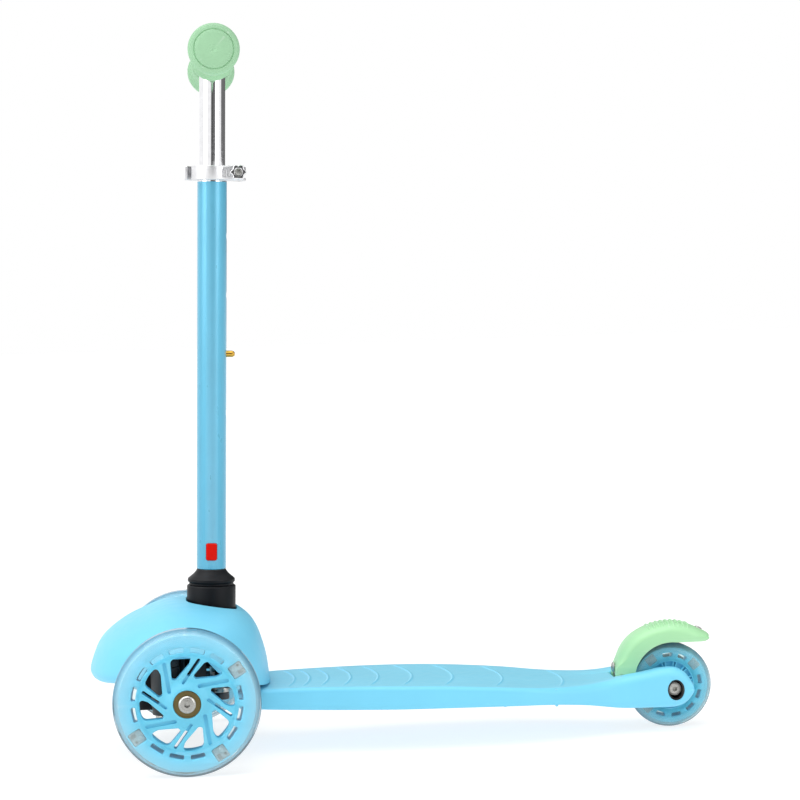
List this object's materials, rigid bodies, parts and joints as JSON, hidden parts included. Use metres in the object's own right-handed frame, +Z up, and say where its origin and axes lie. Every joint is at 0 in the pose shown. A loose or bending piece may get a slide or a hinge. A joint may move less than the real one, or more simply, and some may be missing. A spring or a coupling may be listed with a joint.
{
  "type": "kick scooter",
  "caption": "Small three-wheel kick scooter for children: leaning T-bar, low deck, clear-tyred wheels in front, one wheel with a foot brake behind.",
  "frame": {"origin": "on the ground, under the middle of the scooter's bounding box", "axes": "+X forwards, +Y to the rider's left, +Z up; at rest the T-bar is upright and the wheels point straight ahead"},
  "size_m": [0.5336, 0.279, 0.6039],
  "materials": {
    "light_blue_plastic": "satin moulded, fine texture",
    "blue_paint": "satin powder coat",
    "black_nylon": "satin moulded",
    "mint_rubber": "soft matt, moulded rings",
    "green_plastic": "satin moulded",
    "red_plastic": "gloss",
    "clear_urethane": "cast, clear, glossy",
    "chrome": "polished",
    "steel": "zinc plated",
    "spring_steel": "drawn wire",
    "polished_aluminium": "polished casting",
    "brass": "turned",
    "led_grey": "potted module"
  },
  "bodies": {
    "deck": {"deck_shell": "light_blue_plastic", "front_truck": "black_nylon", "front_housing": "light_blue_plastic", "left_kingpin": "steel", "right_kingpin": "steel", "left_centring_spring": "spring_steel", "right_centring_spring": "spring_steel", "left_deck_screw": "steel", "right_deck_screw": "steel", "lean_bolt": "steel", "left_axle_cup": "black_nylon", "right_axle_cup": "black_nylon", "rear_axle_bolt": "steel", "rear_axle_nut": "steel", "brake_hinge_pin": "steel", "brake_spring": "spring_steel"},
    "steering_head": {"steering_head": "black_nylon", "steering_pin": "steel", "socket_bell": "black_nylon", "lower_tube": "blue_paint", "button_spring": "spring_steel", "clamp_collar": "polished_aluminium", "clamp_bolt": "steel", "clamp_nut": "steel"},
    "release_button": {"release_button": "red_plastic"},
    "clamp_lever": {"clamp_lever": "polished_aluminium"},
    "handlebar": {"handlebar_tube": "chrome", "left_grip": "mint_rubber", "right_grip": "mint_rubber", "pin_spring": "spring_steel"},
    "height_pin": {"height_pin": "brass"},
    "left_knuckle": {"left_knuckle": "black_nylon", "left_axle_bolt": "steel", "left_tie_screw": "steel"},
    "right_knuckle": {"right_knuckle": "black_nylon", "right_axle_bolt": "steel", "right_tie_screw": "steel"},
    "tie_bar": {"tie_bar": "steel"},
    "front_left_wheel": {"front_left_tyre": "clear_urethane", "front_left_wheel_core": "light_blue_plastic", "front_left_bearing_left": "steel", "front_left_bearing_right": "steel", "front_left_led_module_1": "led_grey", "front_left_led_module_2": "led_grey", "front_left_led_module_3": "led_grey"},
    "front_right_wheel": {"front_right_tyre": "clear_urethane", "front_right_wheel_core": "light_blue_plastic", "front_right_bearing_left": "steel", "front_right_bearing_right": "steel", "front_right_led_module_1": "led_grey", "front_right_led_module_2": "led_grey", "front_right_led_module_3": "led_grey"},
    "rear_wheel": {"rear_tyre": "clear_urethane", "rear_wheel_core": "light_blue_plastic", "rear_bearing_left": "steel", "rear_bearing_right": "steel"},
    "brake": {"brake_fender": "green_plastic", "brake_strip": "steel", "brake_screw_front": "steel", "brake_screw_rear": "steel"}
  },
  "joints": [
    {"name": "lean", "type": "hinge", "parent": "deck", "child": "steering_head", "pos_m": [0.16415, 0, 0.1], "axis": [-1, 0, 0], "range_deg": [-14, 14], "stiffness_Nm_per_rad": 60, "deforming": ["left_centring_spring", "right_centring_spring"]},
    {"name": "left_steer", "type": "hinge", "parent": "deck", "child": "left_knuckle", "pos_m": [0.203, 0.085, 0.0673], "axis": [0, 0, 1], "range_deg": [-12, 12]},
    {"name": "right_steer", "type": "hinge", "parent": "deck", "child": "right_knuckle", "pos_m": [0.203, -0.085, 0.0673], "axis": [0, 0, 1], "range_deg": [-12, 12]},
    {"name": "tie_bar_swing", "type": "hinge", "parent": "left_knuckle", "child": "tie_bar", "pos_m": [0.158, 0.085, 0.06275], "axis": [0, 0, 1], "range_deg": [-12, 12]},
    {"name": "front_left_spin", "type": "hinge", "parent": "left_knuckle", "child": "front_left_wheel", "pos_m": [0.1856, 0.126, 0.06], "axis": [0, 1, 0], "continuous": true},
    {"name": "front_right_spin", "type": "hinge", "parent": "right_knuckle", "child": "front_right_wheel", "pos_m": [0.1856, -0.126, 0.06], "axis": [0, 1, 0], "continuous": true},
    {"name": "rear_spin", "type": "hinge", "parent": "deck", "child": "rear_wheel", "pos_m": [-0.2304, 0, 0.0365], "axis": [0, 1, 0], "continuous": true},
    {"name": "brake_press", "type": "hinge", "parent": "deck", "child": "brake", "pos_m": [-0.1875, 0, 0.0455], "axis": [0, -1, 0], "range_deg": [0, 5], "stiffness_Nm_per_rad": 2, "springref_deg": -8.59, "deforming": ["brake_spring"]},
    {"name": "button_press", "type": "slide", "parent": "steering_head", "child": "release_button", "axis": [0, -1, 0], "range_m": [0, 0.004], "stiffness_N_per_m": 400, "springref_m": -0.002, "deforming": ["button_spring"]},
    {"name": "clamp_open", "type": "hinge", "parent": "steering_head", "child": "clamp_lever", "pos_m": [0.12785, -0.0155, 0.48845], "axis": [0.037, 0, -0.9993], "range_deg": [0, 120]},
    {"name": "height_slide", "type": "slide", "parent": "steering_head", "child": "handlebar", "axis": [-0.037, 0, 0.9993], "range_m": [-0.05, 0.1], "deforming": ["height_pin", "pin_spring"]},
    {"name": "pin_press", "type": "slide", "parent": "handlebar", "child": "height_pin", "axis": [0.9993, 0, 0.037], "range_m": [0, 0.008], "stiffness_N_per_m": 300, "springref_m": -0.002}
  ],
  "couplings": [
    {"joint": "left_steer", "follows": "lean", "ratio": 0.8278},
    {"joint": "right_steer", "follows": "lean", "ratio": 0.8278},
    {"joint": "tie_bar_swing", "follows": "lean", "ratio": -0.8278}
  ]
}
